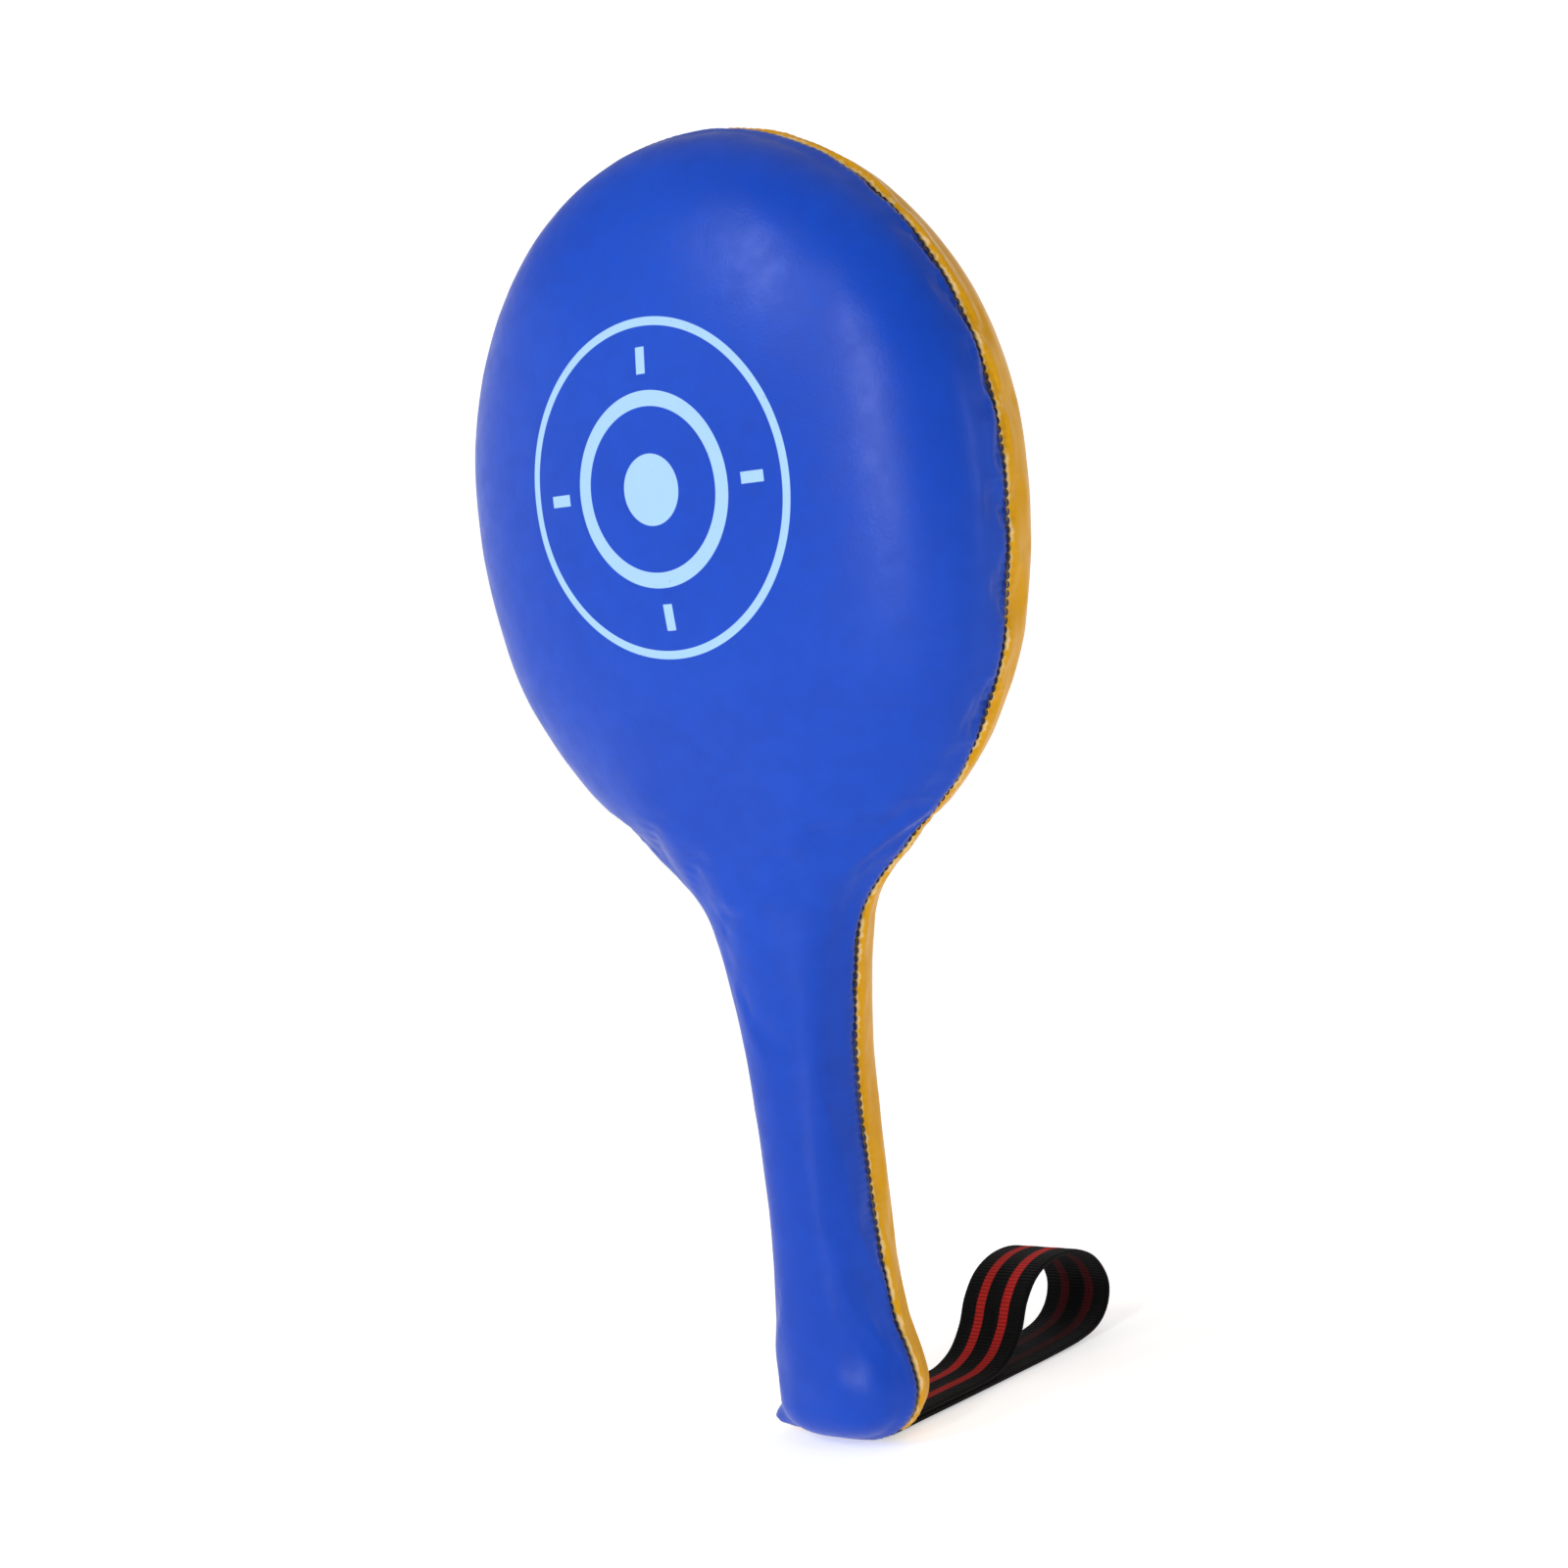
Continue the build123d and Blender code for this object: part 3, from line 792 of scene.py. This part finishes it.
def catmull(points, spacing):
    """Evenly spaced points along a smooth line through the given ones."""
    points = [np.array(p, float) for p in points]
    points = [2 * points[0] - points[1]] + points + [2 * points[-1] - points[-2]]
    fine = []
    for p0, p1, p2, p3 in zip(points, points[1:], points[2:], points[3:]):
        for i in range(CURVE_STEPS):
            t = i / CURVE_STEPS
            fine.append(
                0.5 * (2 * p1 + (p2 - p0) * t + (2 * p0 - 5 * p1 + 4 * p2 - p3) * t**2
                       + (3 * p1 - p0 - 3 * p2 + p3) * t**3)
            )
    fine.append(points[-2])
    fine = np.array(fine)
    place = np.concatenate([[0.0], np.cumsum(np.linalg.norm(np.diff(fine, axis=0), axis=1))])
    even = np.linspace(0, place[-1], round(place[-1] / spacing) + 1)
    return np.stack([np.interp(even, place, fine[:, k]) for k in range(2)], axis=1), even


def strap_route():
    """Middle line of the webbing as (y, z): out of the seam, along the floor, round and back."""
    return [
        (-0.9, 24.0), (-0.9, 8.0), (-0.85, 4.2), (-0.2, 2.0), (2.0, 1.2), (6.0, 1.1), (20.0, 1.15),
        (36.0, 1.1), (52.0, 1.1), (70.0, 1.15), (86.0, 1.2), (104.0, 1.8), (115.0, 4.1),
        (121.5, 9.6), (122.8, 17.1), (117.0, 25.6), (106.0, 30.7), (94.0, 31.3), (84.0, 28.1),
        (77.0, 21.6), (72.5, 13.6), (66.5, 7.3), (59.5, 4.1), (52.0, 3.0), (36.0, 2.95),
        (20.0, 2.9), (7.0, 2.95), (2.9, 3.5), (1.1, 5.2), (0.9, 8.0), (0.9, 24.0),
    ]


def strap():
    """The webbing as one ribbed band with rounded selvedges and two raised stripes.

    Gives the object and its flat length in metres.
    """
    line, along = catmull(strap_route(), RIB_PITCH / 4)
    tangent = np.gradient(line, axis=0)
    tangent /= np.linalg.norm(tangent, axis=1)[:, None]
    normal = np.stack([-tangent[:, 1], tangent[:, 0]], axis=1)
    half = WEBBING_WIDTH / 2
    across = np.concatenate([
        [-half, -half + 0.12, -half + 0.45],
        np.linspace(-half + 1.2, half - 1.2, 26),
        [half - 0.45, half - 0.12, half],
    ])
    edge = half - np.abs(across)
    rounding = np.sqrt(np.clip(edge / SELVEDGE_WIDTH, 0, 1))
    thick = WEBBING_THICKNESS / 2 * np.clip(SELVEDGE_SHARE + (1 - SELVEDGE_SHARE) * rounding, 0, 1)
    stripe = np.abs(np.abs(across) - STRIPE_OFFSET) < STRIPE_WIDTH / 2
    thick = thick + STRIPE_HEIGHT * stripe
    verts, coords, faces = [], [], []
    n = len(across)
    for point, out, s in zip(line, normal, along):
        rib = RIB_HEIGHT * math.sin(2 * math.pi * s / RIB_PITCH)
        for face in (1, -1):
            order = range(n) if face == 1 else range(n - 1, -1, -1)
            for k in order:
                lift = face * (thick[k] + rib * min(1.0, edge[k]) - SURFACE_INSET)
                verts.append((across[k], point[0] + out[0] * lift, point[1] + out[1] * lift))
                # the face whose stripes get painted shade has its map shifted
                coords.append((across[k] + (SHADED_SIDE_SHIFT if face == SHADED_SIDE_FACE else 0.0), s))
    ring = 2 * n
    for i in range(len(line) - 1):
        for k in range(ring):
            a, b = i * ring + k, i * ring + (k + 1) % ring
            faces.append((a, a + ring, b + ring, b))
    faces.append(tuple(range(ring)))
    faces.append(tuple(range((len(line) - 1) * ring, len(line) * ring))[::-1])
    obj = make_mesh("wrist_strap_webbing", np.array(verts) * MM, faces)
    layer = obj.data.uv_layers.new(name="weave")
    corners = np.zeros(len(obj.data.loops), dtype=int)
    obj.data.loops.foreach_get("vertex_index", corners)
    layer.data.foreach_set("uv", np.array(coords)[corners].ravel())
    return obj, along[-1] * MM


# ---------------------------------------------------------------- build


front = shell("front_shell", FRONT)
back = shell("back_shell", BACK)
stitches = seam_stitches()
webbing, webbing_length = strap()
front.data.materials.append(front_leather())
back.data.materials.append(back_leather())
stitches.data.materials.append(thread_material("seam_thread", rgb(44, 46, 66), rgb(18, 20, 34)))
webbing.data.materials.append(webbing_material())

wood = wood_material()
finish_node("grip_splint_front", wood)
finish_node("grip_splint_back", wood)
fibre = plain_material("core_fibre", rgb(86, 70, 52), rgb(58, 46, 34), 900.0, 0.6)
finish_node("core_sheet", fibre)
steel = plain_material("rivet_metal", rgb(196, 194, 188), rgb(150, 148, 144), 1500.0, 0.35, 1.0)
finish_node("splint_rivets", steel)
thread = thread_material("closing_thread", rgb(226, 214, 184), rgb(186, 172, 140))
finish_node("closing_stitches", thread)

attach(front, "pad")
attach(back, "pad")
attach(stitches, "pad")
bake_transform(webbing)
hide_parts("front_cover", "head_padding_front", "head_backing_front", "grip_padding_front")
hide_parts("back_cover", "head_padding_back", "head_backing_back", "grip_padding_back")
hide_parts("seam_thread")
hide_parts("wrist_strap", "strap_tails")

# ---------------------------------------------------------------- studio


def backdrop():
    """Pale round floor that curves up into a wall on every side, with a faint painted glow,
    strongest round the object and on the side away from the camera, and weaker on the camera's
    side.
    """
    flat, curve, steps = BACKDROP_RADIUS, BACKDROP_CURVE, BACKDROP_SIDES
    profile = [(0.0, 0.0), (flat / 2, 0.0), (flat, 0.0)]
    for i in range(1, BACKDROP_CURVE_STEPS + 1):
        a = math.pi / 2 * i / BACKDROP_CURVE_STEPS
        profile.append((flat + curve * math.sin(a), curve * (1 - math.cos(a))))
    profile.append((flat + curve, BACKDROP_TOP))
    verts = []
    for radius, z in profile:
        for k in range(steps):
            a = 2 * math.pi * k / steps
            verts.append((radius * math.cos(a), radius * math.sin(a), z - FLOOR_GAP))
    faces = []
    for i in range(len(profile) - 1):
        for k in range(steps):
            a, b = i * steps + k, i * steps + (k + 1) % steps
            faces.append((a, b, b + steps, a + steps))
    obj = make_mesh("studio_backdrop", verts, faces, closed=False)
    m = Nodes("pale_backdrop")
    m.set(Base_Color=(0.82, 0.82, 0.82, 1.0), Roughness=0.8, Specular_IOR_Level=0.1)
    split = m.add("ShaderNodeSeparateXYZ")
    m.link(m.add("ShaderNodeTexCoord").outputs["Object"], split.inputs[0])
    # painted light: the backdrop glows most round the object and towards -X and +Y, less towards +X
    # and -Y
    away = m.math("SUBTRACT", split.outputs["X"], m.math("MULTIPLY", split.outputs["Y"], 0.4))
    glow = m.ramp(away, *GLOW_DISTANCE, *GLOW_STRENGTH)
    m.set(Emission_Color=WHITE, Emission_Strength=glow)
    obj.data.materials.append(m.material)


def area_light(name, place, aim, size, power):
    """Soft rectangular light turned towards a point."""
    data = bpy.data.lights.new(name, "AREA")
    data.shape = "RECTANGLE"
    data.size, data.size_y = size
    data.energy = power
    obj = bpy.data.objects.new(name, data)
    obj.location = place
    obj.rotation_euler = (Vector(aim) - Vector(place)).to_track_quat("-Z", "Y").to_euler()
    bpy.context.scene.collection.objects.link(obj)


def camera():
    """The photograph's viewing angle: a little above, and from the right of the front."""
    data = bpy.data.cameras.new("camera")
    data.sensor_width = CAMERA_SENSOR
    data.lens = CAMERA_LENS
    data.shift_x, data.shift_y = CAMERA_SHIFT
    obj = bpy.data.objects.new("camera", data)
    bpy.context.scene.collection.objects.link(obj)
    place = Vector(CAMERA_PLACE)
    forward = Vector(CAMERA_FORWARD).normalized()
    right = Vector(CAMERA_RIGHT)
    right = (right - right.dot(forward) * forward).normalized()
    up = right.cross(forward)
    turn = Matrix((right, up, -forward)).transposed().to_4x4()
    obj.matrix_world = Matrix.Translation(place) @ turn
    bpy.context.scene.camera = obj


backdrop()
for light in LIGHTS:
    area_light(*light)
world = bpy.data.worlds.new("studio")
bpy.context.scene.world = world
world.use_nodes = True
sky = world.node_tree.nodes["Background"]
sky.inputs["Color"].default_value = WHITE
sky.inputs["Strength"].default_value = WORLD_STRENGTH
camera()
bpy.context.scene.view_settings.view_transform = "Standard"
